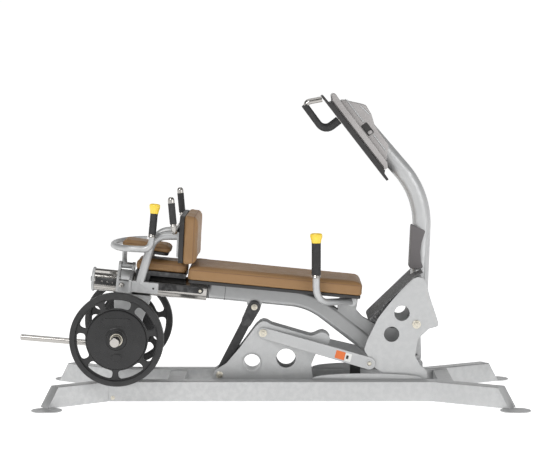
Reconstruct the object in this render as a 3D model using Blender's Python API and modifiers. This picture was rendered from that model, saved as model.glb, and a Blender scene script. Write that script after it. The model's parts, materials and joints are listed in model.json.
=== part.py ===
"""Plate-loaded hip thrust machine, as separate solids.

Metres, +Z up. +X runs from the weight plates to the foot plate and -Y is the near side. The origin is on
the floor, in the middle of the machine's length and width. A point written with two numbers is (x, z).
"""

from math import atan2, cos, pi, radians, sin, tan

import bmesh
import bpy
from mathutils import Matrix, Vector

GAP = 0.0003  # between touching pieces

# Base
RAIL_Y = 0.196
RAIL_WIDTH = 0.076
RAIL_BOTTOM = 0.005
RAIL_TOP = 0.103
RAIL_LEFT = -0.779
RAIL_BEND = 0.800
RIGHT_LEG_ANGLE = radians(31)
RIGHT_LEG_LENGTH = 0.414
LEFT_LEG_END = (-1.070, 0.4075)
LEG_END_LEAN = 0.060
FLOOR_PLATE_SIZE = (0.147, 0.122, 0.006)
LEFT_FLOOR_PLATE_X = -1.050
RIGHT_FLOOR_PLATE_X = 1.1625
FLOOR_PLATE_Y = 0.465
BASE_TOP = 0.062

# Pivots of the rocking bench, as (x, z)
ROCKER_BASE = (-0.249, 0.109)
ROCKER_TOP = (-0.077, 0.442)
REAR_PIVOT = (0.714, 0.372)
REAR_TRUNNION = (0.718, 0.195)
TIE_TOWER = (-0.034, 0.318)
TIE_FOOT = (0.485, 0.181)

# Bench: u runs down its slope, v stands square to it, from the axis of the chrome tube
BENCH_TILT = radians(5.6)
BENCH_AXIS_Z = 0.4924
TUBE_RADIUS = 0.054
TUBE_ENDS = (-0.868, -0.312)
BEAM_DEPTH = 0.090
BEAM_WIDTH = 0.060
BEAM_V = 0.0045
PAD_V = 0.066
PAD_THICKNESS = 0.062
BOARD_THICKNESS = 0.0155
HORN = (-0.728, 0.325)
HORN_LENGTH = 0.940
HORN_RADIUS = 0.0235
PLATE_Y = 0.350
PLATE_RADIUS = 0.225
PLATE_WINDOWS = 7

# Carriage
FLANGES = (-0.757, -0.690)
FLANGE_THICKNESS = 0.014
SADDLE_BORE = 0.0546
LOCK_U = -0.727
LOCK_V = -0.004
HOLE_PITCH = 0.0254
HOLE_COUNT = 5
CLEVIS_V = 0.083
ARM_Y = 0.140
ARM_RADIUS = 0.021
ARM_TOP_Z = 0.803
BRACKET_X = (-0.449, -0.4365)
BACK_BOARD_X = (-0.4362, -0.4125)
BACK_PAD_X = (-0.4122, -0.3520)
BACK_PAD_Z = (0.669, 0.914)
BACK_LEAN = radians(3)
SIDE_GRIP_Y = 0.378
LOOP_Y = 0.200
LOOP_RADIUS = 0.016

# Foot frame, mast and head
SIDE_PLATE_Y = 0.1535
FOOT_LOW = (0.487, 0.404)
FOOT_HIGH = (0.698, 0.607)
FOOT_HALF_WIDTH = 0.165
FOOT_FLANGE_Y = 0.1395
MAST_RADIUS = 0.0455
HEAD_TOP = (0.250, 1.477)
HEAD_LOW = (0.566, 1.070)
HEAD_HALF_WIDTH = 0.160
HANDLE_Y = 0.130

PAINT = ("silver_paint", (0.60, 0.61, 0.62), 0.35, 0.6)
CHROME = ("chrome", (0.80, 0.80, 0.80), 0.12, 1.0)
ZINC = ("zinc", (0.62, 0.60, 0.54), 0.30, 1.0)
BLACK = ("black_paint", (0.025, 0.025, 0.028), 0.45, 0.0)
CAST = ("cast_iron", (0.045, 0.045, 0.050), 0.55, 0.3)
RUBBER = ("grip_rubber", (0.020, 0.020, 0.022), 0.75, 0.0)
VINYL = ("tan_vinyl", (0.36, 0.20, 0.095), 0.50, 0.0)
YELLOW = ("yellow_plastic", (0.85, 0.62, 0.05), 0.35, 0.0)
TREAD = ("tread", (0.16, 0.16, 0.17), 0.75, 0.0)
SHELL = ("pale_plastic", (0.62, 0.62, 0.63), 0.45, 0.0)


# ---------------------------------------------------------------- scene and materials

def start_scene():
    """Empties the scene and returns the collections for the parts and for the cutters."""
    for obj in list(bpy.data.objects):
        bpy.data.objects.remove(obj)
    parts = bpy.data.collections.new("hip_thrust_machine")
    cutters = bpy.data.collections.new("cutters")
    for collection in (parts, cutters):
        bpy.context.scene.collection.children.link(collection)
    return parts, cutters


PARTS, CUTTERS = start_scene()


def material(finish):
    name, colour, roughness, metallic = finish
    made = bpy.data.materials.get(name)
    if made is None:
        made = bpy.data.materials.new(name)
        made.use_nodes = True
        shader = made.node_tree.nodes["Principled BSDF"]
        shader.inputs["Base Color"].default_value = (*colour, 1.0)
        shader.inputs["Roughness"].default_value = roughness
        shader.inputs["Metallic"].default_value = metallic
    return made


def add(name, data, finish, matrix=None):
    obj = bpy.data.objects.new(name, data)
    PARTS.objects.link(obj)
    data.materials.append(material(finish))
    if matrix is not None:
        obj.matrix_world = matrix
    return obj


# ---------------------------------------------------------------- outlines and paths

def bench(u, v):
    """The (x, z) of a point given along and across the bench."""
    c, s = cos(BENCH_TILT), sin(BENCH_TILT)
    return (u * c + v * s, BENCH_AXIS_Z - u * s + v * c)


def along(start, end, share):
    return tuple(a + (b - a) * share for a, b in zip(start, end))


def bent_path(points, bend, steps=5):
    """An open 3-D path with its inner corners rounded to the radius bend, or to one radius a corner."""
    points = [Vector(p) for p in points]
    bends = bend if isinstance(bend, (list, tuple)) else [bend] * (len(points) - 2)
    path = [points[0]]
    for before, corner, after, radius in zip(points, points[1:], points[2:], bends):
        path += corner_arc(before, corner, after, radius, steps)
    return path + [points[-1]]


def rounded(points, radius, steps=3):
    """A closed outline with every corner rounded, as far as its sides allow."""
    points = [Vector((*p, 0.0)) for p in points]
    outline = []
    for i, corner in enumerate(points):
        before, after = points[i - 1], points[(i + 1) % len(points)]
        outline += corner_arc(before, corner, after, radius, steps, radians(20))
    return [(p.x, p.y) for p in outline]


def corner_arc(before, corner, after, radius, steps, least_turn=radians(1)):
    """Points of the arc that rounds one corner, shortened where the sides are too short for it."""
    back = (before - corner).normalized()
    ahead = (after - corner).normalized()
    half = back.angle(ahead) / 2
    if pi - 2 * half < least_turn or radius <= 0:
        return [corner]
    reach = min(radius / tan(half), 0.49 * (before - corner).length, 0.49 * (after - corner).length)
    radius = reach * tan(half)
    centre = corner + (back + ahead).normalized() * (radius / sin(half))
    start = corner + back * reach - centre
    end = corner + ahead * reach - centre
    turn = start.angle(end)
    arc = []
    for i in range(steps + 1):
        share = i / steps
        mixed = start * sin((1 - share) * turn) + end * sin(share * turn)
        arc.append(centre + mixed / sin(turn))
    return arc


def circle(centre, radius, count=16):
    return [(centre[0] + radius * cos(2 * pi * i / count), centre[1] + radius * sin(2 * pi * i / count))
            for i in range(count)]


def capsule(start, end, radius, end_radius=None, steps=7):
    """An outline around two centres: round ends joined by straight sides."""
    end_radius = radius if end_radius is None else end_radius
    lean = atan2(end[1] - start[1], end[0] - start[0])
    outline = []
    for centre, size, first in ((end, end_radius, -pi / 2), (start, radius, pi / 2)):
        for i in range(steps + 1):
            turn = lean + first + pi * i / steps
            outline.append((centre[0] + size * cos(turn), centre[1] + size * sin(turn)))
    return outline


def strip(path, width):
    """The closed outline of a band of this width along an open (x, z) path."""
    path = [Vector(p) for p in path]
    left, right = [], []
    for i, point in enumerate(path):
        ahead = (path[min(i + 1, len(path) - 1)] - path[max(i - 1, 0)]).normalized()
        side = Vector((-ahead.y, ahead.x)) * (width / 2)
        left.append(tuple(point + side))
        right.append(tuple(point - side))
    return left + right[::-1]


# ---------------------------------------------------------------- solids

UPRIGHT = Matrix.Rotation(pi / 2, 4, "X")  # turns an outline's second axis to +Z


def sheet(name, loops, thickness, finish, matrix=None, chamfer=0.001, roundness=0):
    """A flat plate: an outline and its holes, given thickness, with its edges broken."""
    curve = bpy.data.curves.new(name, "CURVE")
    curve.dimensions = "2D"
    curve.fill_mode = "BOTH"
    for loop in loops:
        spline = curve.splines.new("POLY")
        spline.points.add(len(loop) - 1)
        for point, (x, y) in zip(spline.points, loop):
            point.co = (x, y, 0.0, 1.0)
        spline.use_cyclic_u = True
    curve.extrude = thickness / 2 - chamfer
    curve.bevel_depth = chamfer
    curve.bevel_resolution = roundness
    curve.offset = -chamfer
    return as_mesh(add(name, curve, finish, matrix))


def plate(name, loops, thickness, y, finish, chamfer=0.001, roundness=0):
    """A plate that stands in the XZ plane, centred on y."""
    return sheet(name, loops, thickness, finish, Matrix.Translation((0, y, 0)) @ UPRIGHT, chamfer, roundness)


def plan(name, outline, z_low, z_high, finish, chamfer=0.0015):
    """A plan outline (x, y) raised from z_low to z_high."""
    middle = Matrix.Translation((0, 0, (z_low + z_high) / 2))
    return sheet(name, [outline], z_high - z_low, finish, middle, chamfer)


def tube(name, path, radius, finish, roundness=3):
    """A round bar along a path of 3-D points."""
    curve = bpy.data.curves.new(name, "CURVE")
    curve.dimensions = "3D"
    spline = curve.splines.new("POLY")
    spline.points.add(len(path) - 1)
    for point, place in zip(spline.points, path):
        point.co = (*place, 1.0)
    curve.bevel_depth = radius
    curve.bevel_resolution = roundness
    curve.use_fill_caps = True
    return as_mesh(add(name, curve, finish))


def as_mesh(curve_object):
    """Replaces a curve object by a closed mesh object of the same name and place."""
    name, matrix = curve_object.name, curve_object.matrix_world.copy()
    graph = bpy.context.evaluated_depsgraph_get()
    mesh = bpy.data.meshes.new_from_object(curve_object.evaluated_get(graph))
    bpy.data.objects.remove(curve_object)
    shape = bmesh.new()
    shape.from_mesh(mesh)
    bmesh.ops.remove_doubles(shape, verts=shape.verts, dist=1e-6)
    bmesh.ops.recalc_face_normals(shape, faces=shape.faces)
    shape.to_mesh(mesh)
    shape.free()
    mesh.shade_smooth()
    mesh.set_sharp_from_angle(angle=radians(35))
    obj = bpy.data.objects.new(name, mesh)
    PARTS.objects.link(obj)
    obj.matrix_world = matrix
    return obj


def box(name, low, high, finish, chamfer=0.001, matrix=None):
    """A box between two corners, with its edges broken."""
    low, high = Vector(low), Vector(high)
    shape = bmesh.new()
    bmesh.ops.create_cube(shape, size=1.0)
    bmesh.ops.scale(shape, vec=high - low, verts=shape.verts)
    bmesh.ops.translate(shape, vec=(low + high) / 2, verts=shape.verts)
    mesh = bpy.data.meshes.new(name)
    shape.to_mesh(mesh)
    shape.free()
    obj = add(name, mesh, finish, matrix)
    if chamfer:
        edge = obj.modifiers.new("broken_edges", "BEVEL")
        edge.width = chamfer
        edge.segments = 1
    return obj


def rod(name, start, end, radius, finish, sides=20):
    """A plain cylinder between two 3-D points."""
    start, end = Vector(start), Vector(end)
    shape = bmesh.new()
    bmesh.ops.create_cone(shape, cap_ends=True, segments=sides, radius1=radius, radius2=radius,
                          depth=(end - start).length)
    mesh = bpy.data.meshes.new(name)
    shape.to_mesh(mesh)
    shape.free()
    mesh.shade_smooth()
    mesh.set_sharp_from_angle(angle=radians(35))
    turn = (end - start).to_track_quat("Z", "Y").to_matrix().to_4x4()
    return add(name, mesh, finish, Matrix.Translation((start + end) / 2) @ turn)


def turned(name, profile, origin, direction, finish, steps=24, ring=False):
    """A turned piece: profile points (radius, height) from the top down its outer side, about direction."""
    mesh = bpy.data.meshes.new(name)
    edges = [(i, i + 1) for i in range(len(profile) - 1)]
    if ring:
        edges.append((len(profile) - 1, 0))
    mesh.from_pydata([(r, 0.0, h) for r, h in profile], edges, [])
    turn = Vector(direction).to_track_quat("Z", "Y").to_matrix().to_4x4()
    obj = add(name, mesh, finish, Matrix.Translation(origin) @ turn)
    screw = obj.modifiers.new("turning", "SCREW")
    screw.steps = screw.render_steps = steps
    screw.use_merge_vertices = True
    screw.merge_threshold = 1e-5
    screw.use_smooth_shade = True
    return obj


def boolean(target, other, operation):
    modifier = target.modifiers.new(operation.lower(), "BOOLEAN")
    modifier.operation = operation
    modifier.object = other
    other.hide_render = True
    other.display_type = "WIRE"
    PARTS.objects.unlink(other)
    CUTTERS.objects.link(other)
    return target


def cut(target, *cutters):
    for cutter in cutters:
        boolean(target, cutter, "DIFFERENCE")
    return target


def join(target, *others):
    for other in others:
        boolean(target, other, "UNION")
    return target


def bolt(name, at, y_ends, radius, head_radius, finish, head=0.006):
    """A pin along Y with a chamfered head at each end."""
    low, high = y_ends
    rim = head_radius * 0.8
    profile = [(0, high), (rim, high), (head_radius, high - head / 3), (head_radius, high - head),
               (radius, high - head), (radius, low + head), (head_radius, low + head),
               (head_radius, low + head / 3), (rim, low), (0, low)]
    return turned(name, profile, (at[0], 0, at[1]), (0, 1, 0), finish, steps=16)


def bench_matrix():
    """Places a piece drawn with x along the slope and z square to it."""
    return Matrix.Translation((0, 0, BENCH_AXIS_Z)) @ Matrix.Rotation(BENCH_TILT, 4, "Y")


# ---------------------------------------------------------------- base

def leg_end_cutter(end, direction):
    """A block that cuts a leg's end so that it leans inwards towards the top."""
    lean = atan2(LEG_END_LEAN, RAIL_TOP - RAIL_BOTTOM)
    turn = Matrix.Rotation(atan2(direction[1], direction[0]), 4, "Z") @ Matrix.Rotation(-lean, 4, "Y")
    place = Matrix.Translation((*end, RAIL_BOTTOM)) @ turn
    return box("leg_end_cutter", (0, -0.2, -0.1), (0.3, 0.2, 0.3), BLACK, 0, place)


def floor_plate(x, side):
    """The oval plate welded under a leg's end."""
    length, width, thickness = FLOOR_PLATE_SIZE
    centre_y = side * FLOOR_PLATE_Y
    ends = [(x - length / 2 + width / 2, centre_y), (x + length / 2 - width / 2, centre_y)]
    return plan("floor_plate", capsule(*ends, width / 2, steps=10), 0.0, thickness, PAINT, 0.001)


def arch_plate(side):
    """The low arched plate on top of a rail."""
    ends, top = (0.205, 0.745), 0.134
    centre = ((ends[0] + ends[1]) / 2, RAIL_TOP)
    half = (ends[1] - ends[0]) / 2
    outline = [(ends[1], RAIL_TOP - 0.006)]
    for i in range(13):
        turn = pi * i / 12
        outline.append((centre[0] + half * cos(turn), RAIL_TOP + (top - RAIL_TOP) * sin(turn) ** 0.7))
    outline.append((ends[0], RAIL_TOP - 0.006))
    return plate("arch_plate", [outline], 0.008, side * 0.176, PAINT)


def rail(name, side):
    """A floor rail with its bent right leg, floor plate and arch plate."""
    length = RIGHT_LEG_LENGTH
    end = (RAIL_BEND + length * cos(RIGHT_LEG_ANGLE), RAIL_Y + length * sin(RIGHT_LEG_ANGLE))
    far = (end[0] + 0.1 * cos(RIGHT_LEG_ANGLE), end[1] + 0.1 * sin(RIGHT_LEG_ANGLE))
    path = bent_path([(RAIL_LEFT, RAIL_Y, 0), (RAIL_BEND, RAIL_Y, 0), (*far, 0)], 0.06, 3)
    outline = [(x, side * y) for x, y in strip([(p.x, p.y) for p in path], RAIL_WIDTH)]
    made = plan(name, outline, RAIL_BOTTOM, RAIL_TOP, PAINT, 0.004)
    direction = (cos(RIGHT_LEG_ANGLE), side * sin(RIGHT_LEG_ANGLE))
    cut(made, leg_end_cutter((end[0], side * end[1]), direction))
    return join(made, floor_plate(RIGHT_FLOOR_PLATE_X, side), arch_plate(side))


def left_leg(name, side):
    """A splayed left leg, bolted against the rail's end."""
    seam = RAIL_LEFT - GAP
    end = Vector(LEFT_LEG_END)
    start = Vector((RAIL_LEFT, RAIL_Y))
    ahead = (end - start).normalized()
    across = Vector((-ahead.y, ahead.x)) * (RAIL_WIDTH / 2)
    beyond = end + ahead * 0.1
    corners = [(seam, RAIL_Y - RAIL_WIDTH / 2), (seam, RAIL_Y + RAIL_WIDTH / 2),
               tuple(beyond - across), tuple(beyond + across)]
    made = plan(name, [(x, side * y) for x, y in corners], RAIL_BOTTOM, RAIL_TOP, PAINT, 0.003)
    cut(made, leg_end_cutter((end.x, side * end.y), (ahead.x, side * ahead.y)))
    return join(made, floor_plate(LEFT_FLOOR_PLATE_X, side))


def cross_members():
    inner = RAIL_Y - RAIL_WIDTH / 2 - GAP
    box("cross_tube_left", (-0.500, -inner, 0.020), (-0.418, inner, 0.097), PAINT, 0.003)
    mitre = RAIL_BEND + RAIL_WIDTH / 2 * tan(RIGHT_LEG_ANGLE / 2)
    spread = inner + (0.820 - mitre) * tan(RIGHT_LEG_ANGLE)
    wide = inner + (0.895 - mitre) * tan(RIGHT_LEG_ANGLE)
    outline = [(0.820, -spread), (0.895, -wide), (0.895, wide), (0.820, spread)]
    plan("cross_tube_right", outline, 0.020, 0.097, PAINT, 0.003)
    box("tower_base", (-0.290, -inner, 0.014), (0.470, inner, BASE_TOP - GAP), PAINT, 0.003)


def tower():
    outline = rounded([(-0.292, BASE_TOP), (-0.275, 0.128), (-0.215, 0.166), (-0.147, 0.246),
                       (-0.070, 0.350), (-0.034, 0.382), (0.010, 0.357), (0.205, 0.300), (0.262, 0.326),
                       (0.302, 0.292), (0.286, 0.256), (0.226, 0.214), (0.203, 0.160),
                       (0.215, BASE_TOP)], 0.030, 2)
    sleeve_at, window_at = (-0.089, 0.171), (0.079, 0.191)
    for side, name in ((-1, "tower_plate_near"), (1, "tower_plate_far")):
        holes = [circle(sleeve_at, 0.0463, 24), circle(window_at, 0.0475, 24),
                 circle(ROCKER_BASE, 0.0103), circle(TIE_TOWER, 0.0103)]
        plate(name, [outline] + holes, 0.008, side * 0.060, PAINT)
    ring = [(0.041, 0.072), (0.046, 0.072), (0.046, -0.072), (0.041, -0.072)]
    turned("tower_sleeve", ring, (sleeve_at[0], 0, sleeve_at[1]), (0, 1, 0), PAINT, 24, ring=True)
    bolt("rocker_base_pin", ROCKER_BASE, (-0.0705, 0.0705), 0.010, 0.017, ZINC)
    bolt("tie_bolt_tower", TIE_TOWER, (-0.087, 0.087), 0.010, 0.020, ZINC)


def tie_bar(name, side):
    """The flat bar from the tower to the foot frame, with the bolt head that holds its right end."""
    start = Vector((TIE_TOWER[0], side * 0.0725, TIE_TOWER[1]))
    end = Vector((TIE_FOOT[0], side * 0.1635, TIE_FOOT[1]))
    ahead = (end - start).normalized()
    up = Vector((0, 0, 1))
    up = (up - ahead * up.dot(ahead)).normalized()
    matrix = Matrix((ahead, up, ahead.cross(up))).transposed().to_4x4()
    matrix.translation = start
    length = (end - start).length
    bar = sheet(name, [capsule((0, 0), (length, 0), 0.027, 0.030)], 0.008, PAINT, matrix)
    place = (TIE_TOWER[0], 0, TIE_TOWER[1])
    cut(bar, rod("tie_hole", (place[0], -0.2, place[2]), (place[0], 0.2, place[2]), 0.0115, BLACK))
    head_y = side * 0.1655
    head = rod("tie_head", (end.x, head_y, end.z), (end.x, head_y + side * 0.006, end.z), 0.018, ZINC)
    return join(bar, head)


def foot_frame():
    """The two side plates that carry the foot plate and the mast."""
    rest = [foot_point(share, -0.0065) for share in (0.72, 0.97)]
    outline = rounded([(0.459, 0.246), (0.474, 0.293), (0.498, 0.343), (0.527, 0.402), (0.556, 0.441),
                       (0.595, 0.490), *rest, (0.720, 0.604), (0.750, 0.596), (0.764, 0.563),
                       (0.779, 0.504), (0.809, 0.416), (0.826, 0.362), (0.775, 0.350),
                       (0.722, 0.300), (0.708, 0.215), (0.738, 0.166), (0.768, 0.141),
                       (0.768, BASE_TOP), (0.600, BASE_TOP), (0.560, 0.128), (0.512, 0.158)], 0.016, 2)
    holes = [circle((0.643, 0.426), 0.0375, 20), circle((0.593, 0.323), 0.0375, 20),
             circle(REAR_PIVOT, 0.0123)]
    for side, name in ((-1, "side_plate_near"), (1, "side_plate_far")):
        plate(name, [outline] + holes, 0.008, side * SIDE_PLATE_Y, PAINT)
    bolt("rear_pivot_pin", REAR_PIVOT, (-0.166, 0.166), 0.012, 0.021, ZINC, 0.008)


def foot_point(share, rise):
    """A point a share of the way up the foot plate and rise above its face."""
    x, z = along(FOOT_LOW, FOOT_HIGH, share)
    lean = atan2(FOOT_HIGH[1] - FOOT_LOW[1], FOOT_HIGH[0] - FOOT_LOW[0])
    return (x - rise * sin(lean), z + rise * cos(lean))


def foot_plate():
    """The tread, its ends turned, with a tapering flange below each side."""
    tread_outline = [foot_point(0.02, 0), foot_point(0.99, 0), (0.705, 0.6125), (0.741, 0.6300),
                     (0.744, 0.6240), (0.709, 0.6065), foot_point(0.98, -0.006), foot_point(0.02, -0.006),
                     (0.4905, 0.3990), (0.4858, 0.3885), (0.4798, 0.3885), (0.4830, 0.3985)]
    tread = plate("foot_plate", [tread_outline], 2 * FOOT_HALF_WIDTH, 0.0, TREAD)
    flange = [foot_point(0.03, -0.003), foot_point(0.97, -0.003), foot_point(0.96, -0.016),
              foot_point(0.70, -0.020), foot_point(0.32, -0.034), foot_point(0.06, -0.052),
              foot_point(0.03, -0.046)]
    for side in (-1, 1):
        join(tread, plate("foot_flange", [flange], 0.006, side * FOOT_FLANGE_Y, TREAD))
    return cut(tread, mast_space())


# ---------------------------------------------------------------- mast and head

def mast_path(beyond=0.0):
    """The mast's centreline, bent over towards the head and lengthened a little for a cutter."""
    corner = (0.7515, 0.994)
    foot = (0.7315, 0.432)
    rise = 0.320 + beyond
    top = (corner[0] - 0.864 * rise, corner[1] + rise)
    return bent_path([(foot[0], 0, foot[1]), (corner[0], 0, corner[1]), (top[0], 0, top[1])], 0.40, 12)


def mast_space():
    return tube("mast_space", mast_path(0.003), MAST_RADIUS + GAP, BLACK, 5)


def mast():
    made = tube("mast", mast_path(), MAST_RADIUS, PAINT, 5)
    reach = SIDE_PLATE_Y - 0.004 - GAP
    join(made, box("mast_socket", (0.698, -reach, 0.490), (0.762, reach, 0.552), PAINT, 0.003))
    guard_outline = [(0.694, 0.850), (0.762, 0.820), (0.743, 0.759), (0.737, 0.715), (0.741, 0.668),
                     (0.752, 0.643), (0.744, 0.634), (0.684, 0.634)]
    guard = plate("mast_guard", [rounded(guard_outline, 0.008, 2)], 0.110, 0.0, TREAD, 0.002)
    cut(guard, mast_space())


def head_point(s, rise):
    """A point s down the head board's front face, from its top, and rise in front of it."""
    lean = atan2(HEAD_LOW[1] - HEAD_TOP[1], HEAD_LOW[0] - HEAD_TOP[0])
    return (HEAD_TOP[0] + s * cos(lean) + rise * sin(lean), HEAD_TOP[1] + s * sin(lean) - rise * cos(lean))


def head():
    board = [head_point(0, 0), head_point(0, -0.010), head_point(0.048, -0.012), head_point(0.052, -0.025),
             head_point(0.470, -0.025), head_point(0.480, -0.014), head_point(0.515, -0.012),
             head_point(0.515, 0)]
    cut(plate("head_board", [board], 2 * HEAD_HALF_WIDTH, 0.0, BLACK, 0.003), mast_space())
    back = -0.025 - GAP
    bezel = rounded([head_point(0.054, back), head_point(0.024, -0.044), head_point(0.026, -0.062),
                     head_point(0.060, -0.060), head_point(0.445, -0.058), head_point(0.468, -0.044),
                     head_point(0.470, back)], 0.008, 2)
    shell = rounded([head_point(0.080, -0.050), (0.352, 1.462), (0.466, 1.436), (0.493, 1.390), (0.508, 1.340),
                     (0.530, 1.306), (0.577, 1.245), (0.566, 1.168), head_point(0.440, -0.045)], 0.014, 2)
    housing = plate("head_housing", [bezel], 0.304, 0.0, SHELL, 0.004, 1)
    join(housing, plate("head_shell", [shell], 0.230, 0.0, SHELL, 0.006, 1))
    cut(housing, mast_space())


def head_handle(side, side_name):
    """A hand hoop on the head board's front, its lower part in a rubber sleeve."""
    corners = [head_point(0.014, 0.0065), head_point(-0.028, 0.089), head_point(0.146, 0.093),
               head_point(0.146, 0.001)]
    y = side * HANDLE_Y
    path = bent_path([(x, y, z) for x, z in corners], [0.020, 0.052], 6)
    hoop = tube("head_handle_" + side_name, path, 0.0125, CHROME)
    low = path[7:]
    low[0] = low[0] + (low[0] - low[1]).normalized() * 0.020
    low[-1] = low[-1] + (low[-2] - low[-1]).normalized() * 0.002
    sleeve = tube("head_grip_" + side_name, low, 0.0170, RUBBER)
    cut(sleeve, tube("hoop_space", path, 0.0129, BLACK))
    return hoop


# ---------------------------------------------------------------- rockers

def link_point(start, end, reach, across=0.0):
    """A point at this reach from start towards end, and across to its right."""
    lean = atan2(end[1] - start[1], end[0] - start[0])
    return (start[0] + reach * cos(lean) + across * sin(lean),
            start[1] + reach * sin(lean) - across * cos(lean))


def front_rocker():
    """The black link whose fork holds the bench beam's lug."""
    reach = (Vector(ROCKER_TOP) - Vector(ROCKER_BASE)).length
    shoulder = link_point(ROCKER_BASE, ROCKER_TOP, reach - 0.085)
    made = plate("front_rocker", [capsule(ROCKER_BASE, shoulder, 0.022)], 0.046, 0.0, BLACK, 0.002)
    join(made, plate("rocker_fork", [capsule(shoulder, ROCKER_TOP, 0.026, 0.031)], 0.086, 0.0, BLACK, 0.002))
    slot = [link_point(ROCKER_BASE, ROCKER_TOP, reach - 0.040, across) for across in (-0.08, 0.08)]
    slot += [link_point(ROCKER_BASE, ROCKER_TOP, reach + 0.08, across) for across in (0.08, -0.08)]
    cut(made, plate("fork_slot", [slot], 0.0612, 0.0, BLACK, 0))
    for x, z in (ROCKER_BASE, ROCKER_TOP):
        cut(made, rod("rocker_bore", (x, -0.1, z), (x, 0.1, z), 0.0103, BLACK))
    bolt("rocker_top_pin", ROCKER_TOP, (-0.0505, 0.0505), 0.010, 0.0155, ZINC)


def rear_rocker():
    """The hidden link hung from the side plates, which carries the beam's rear trunnion."""
    reach = SIDE_PLATE_Y - 0.004 - 0.001
    x, z = REAR_PIVOT
    made = rod("rear_rocker", (x, -reach, z), (x, reach, z), 0.022, PAINT)
    for side in (-1, 1):
        loops = [capsule(REAR_TRUNNION, REAR_PIVOT, 0.028, 0.026), circle(REAR_TRUNNION, 0.0178)]
        join(made, plate("rocker_cheek", loops, 0.010, side * 0.045, PAINT))
    cut(made, rod("rear_bore", (x, -0.2, z), (x, 0.2, z), 0.0124, BLACK))


# ---------------------------------------------------------------- bench

def beam():
    """The bent oval beam with its end bracket, the lug for the front rocker and the rear trunnion."""
    left, right = bench(TUBE_ENDS[1] + GAP, BEAM_V), (REAR_TRUNNION[0] + 0.020, REAR_TRUNNION[1])
    corners = [left, (0.200, 0.4775), (0.562, 0.197), right]
    path = bent_path([(x, 0, z) for x, z in corners], [0.34, 0.12], 8)
    outline = strip([(p.x, p.z) for p in path], BEAM_DEPTH)
    made = plate("beam", [outline], BEAM_WIDTH, 0.0, PAINT, 0.022, 2)
    bracket = rounded([(0.330, 0.400), (0.336, 0.462), bench(0.350, 0.048), bench(0.432, 0.048),
                       (0.430, 0.455), (0.424, 0.425), (0.458, 0.389), (0.522, 0.355), (0.640, 0.330),
                       (0.690, 0.240), (0.640, 0.200), (0.520, 0.250)], 0.012, 2)
    lug = [(-0.120, 0.480), (-0.108, 0.440), *capsule_end(ROCKER_TOP, 0.026), (-0.046, 0.440), (-0.034, 0.478)]
    join(made, plate("end_bracket", [bracket], 0.046, 0.0, PAINT, 0.002))
    join(made, plate("rocker_lug", [lug], 0.056, 0.0, PAINT, 0.001))
    x, z = REAR_TRUNNION
    join(made, rod("trunnion", (x, -0.053, z), (x, 0.053, z), 0.010, ZINC, 16))
    x, z = ROCKER_TOP
    cut(made, rod("lug_bore", (x, -0.1, z), (x, 0.1, z), 0.0103, BLACK))


def capsule_end(centre, radius, steps=6):
    """The lower half of a circle, left to right."""
    return [(centre[0] - radius * cos(pi * i / steps), centre[1] - radius * sin(pi * i / steps))
            for i in range(steps + 1)]


def slide_tube():
    direction = (cos(BENCH_TILT), 0, -sin(BENCH_TILT))
    (x0, z0), (x1, z1) = bench(TUBE_ENDS[0], 0), bench(TUBE_ENDS[1], 0)
    rod("slide_tube", (x0, 0, z0), (x1, 0, z1), TUBE_RADIUS, CHROME, 36)
    x, z = bench(TUBE_ENDS[0] - GAP, 0)
    profile = [(0, 0), (0.060, 0), (0.060, -0.009), (0.056, -0.013), (0.014, -0.013), (0.012, -0.021), (0, -0.021)]
    turned("tube_end_cap", profile, (x, 0, z), direction, PAINT, 32)
    rail_low, rail_high = (-0.862, -0.0625, -0.0165), (-0.340, -TUBE_RADIUS - GAP, 0.0165)
    made = box("index_rail", rail_low, rail_high, BLACK, 0.001, bench_matrix())
    x, z = bench(-0.344, -0.001)
    rod("rail_bolt", (x, -0.0625 - GAP, z), (x, -0.0705, z), 0.0155, ZINC)
    for i in range(HOLE_COUNT):
        u = LOCK_U - i * HOLE_PITCH
        x, z = bench(u, LOCK_V)
        cut(made, rod("index_hole", (x, -0.07, z), (x, -0.03, z), 0.0056, BLACK, 12))


def main_pad_outline(inset):
    """The bench pad in plan: a long tapering shape with round corners, in bench u and y."""
    left, right = -0.412 + inset, 0.448 - inset
    wide, narrow = 0.235 - inset, 0.215 - inset
    corners = [(left, -wide), (right, -narrow), (right, narrow), (left, wide)]
    return rounded(corners, 0.026 - inset / 2, 5)


def bench_pads():
    for name, inset, low, thickness, finish in (
            ("bench_pad", 0.0, PAD_V, PAD_THICKNESS, VINYL),
            ("bench_board", 0.012, PAD_V - GAP - BOARD_THICKNESS, BOARD_THICKNESS, BLACK)):
        lift = Matrix.Translation((0, 0, low + thickness / 2))
        sheet(name, [main_pad_outline(inset)], thickness, finish, bench_matrix() @ lift, 0.002)
    (x0, z0), (x1, z1) = bench(-0.45, 0), bench(TUBE_ENDS[1] + 0.002, 0)
    groove = rod("tube_groove", (x0, 0, z0), (x1, 0, z1), TUBE_RADIUS + 0.0005, BLACK, 36)
    cut(bpy.data.objects["bench_board"], groove)


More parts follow.
